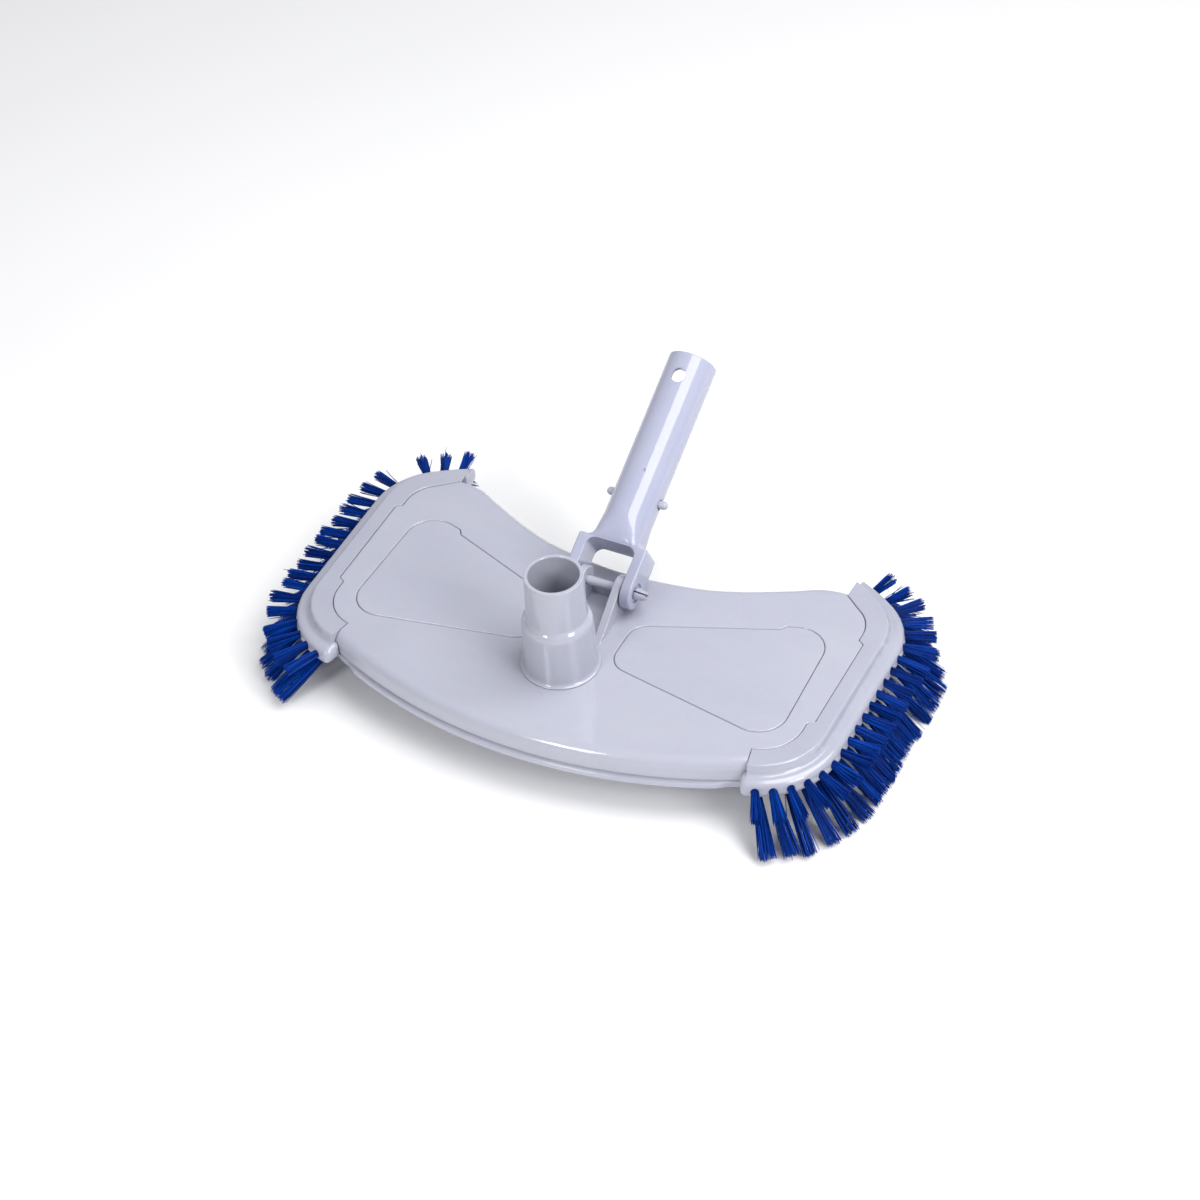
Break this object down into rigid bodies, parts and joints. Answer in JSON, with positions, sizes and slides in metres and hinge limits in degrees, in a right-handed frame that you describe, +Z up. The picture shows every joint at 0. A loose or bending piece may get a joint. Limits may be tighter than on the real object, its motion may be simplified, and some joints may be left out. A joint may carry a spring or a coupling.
{
  "type": "manual pool vacuum head",
  "caption": "Half-moon weighted pool vacuum head with a hose spigot, side brush arms and a tilting pole handle.",
  "frame": {"origin": "middle of the bounding box at floor level, with the handle in its rest pose", "axes": "+X across the head from the left brush to the right brush, +Y from the front lip towards the handle, +Z up"},
  "size_m": [0.3746, 0.2426, 0.1312],
  "materials": {
    "shell_plastic": "pale lilac grey moulded ABS, semi-gloss",
    "cover_plastic": "pale lilac grey moulded ABS, semi-gloss",
    "arm_plastic": "pale lilac grey moulded ABS, semi-gloss",
    "spigot_plastic": "pale lilac grey moulded ABS, semi-gloss",
    "handle_plastic": "pale lilac grey moulded ABS, glossy",
    "pin_plastic": "pale grey nylon",
    "clip_plastic": "pale grey acetal",
    "plate_plastic": "pale lilac grey ABS, satin",
    "blue_bristle": "deep blue nylon filament",
    "weight_iron": "dark coated ballast",
    "screw_steel": "stainless"
  },
  "bodies": {
    "head": {"body_shell": "shell_plastic", "hose_spigot": "spigot_plastic", "base_plate": "plate_plastic", "ballast_weight_left": "weight_iron", "ballast_weight_right": "weight_iron", "weight_cover_left": "cover_plastic", "weight_cover_right": "cover_plastic", "brush_arm_left": "arm_plastic", "brush_arm_right": "arm_plastic", "bristles_upper_left": "blue_bristle", "bristles_upper_right": "blue_bristle", "bristles_lower_left": "blue_bristle", "bristles_lower_right": "blue_bristle", "arm_screw_front_left": "screw_steel", "arm_screw_front_right": "screw_steel", "arm_screw_rear_left": "screw_steel", "arm_screw_rear_right": "screw_steel", "plate_screw_front_left": "screw_steel", "plate_screw_front_right": "screw_steel", "plate_screw_outer_left": "screw_steel", "plate_screw_outer_right": "screw_steel", "plate_screw_rear_left": "screw_steel", "plate_screw_rear_right": "screw_steel"},
    "handle": {"handle": "handle_plastic", "pivot_pin": "pin_plastic", "clip_bridge": "clip_plastic"},
    "button_left": {"clip_leg_left": "clip_plastic"},
    "button_right": {"clip_leg_right": "clip_plastic"}
  },
  "joints": [
    {"name": "handle_tilt", "type": "hinge", "parent": "head", "child": "handle", "pos_m": [0, -0.0084, 0.0546], "axis": [1, 0, 0], "range_deg": [-20, 80]},
    {"name": "button_left_press", "type": "hinge", "parent": "handle", "child": "button_left", "pos_m": [-0.0097, 0.06959, 0.09537], "axis": [0, -0.4633, 0.8862], "range_deg": [0, 7.6], "stiffness_Nm_per_rad": 2},
    {"name": "button_right_press", "type": "hinge", "parent": "handle", "child": "button_right", "pos_m": [0.0097, 0.06959, 0.09537], "axis": [0, 0.4633, -0.8862], "range_deg": [0, 7.6], "stiffness_Nm_per_rad": 2}
  ]
}
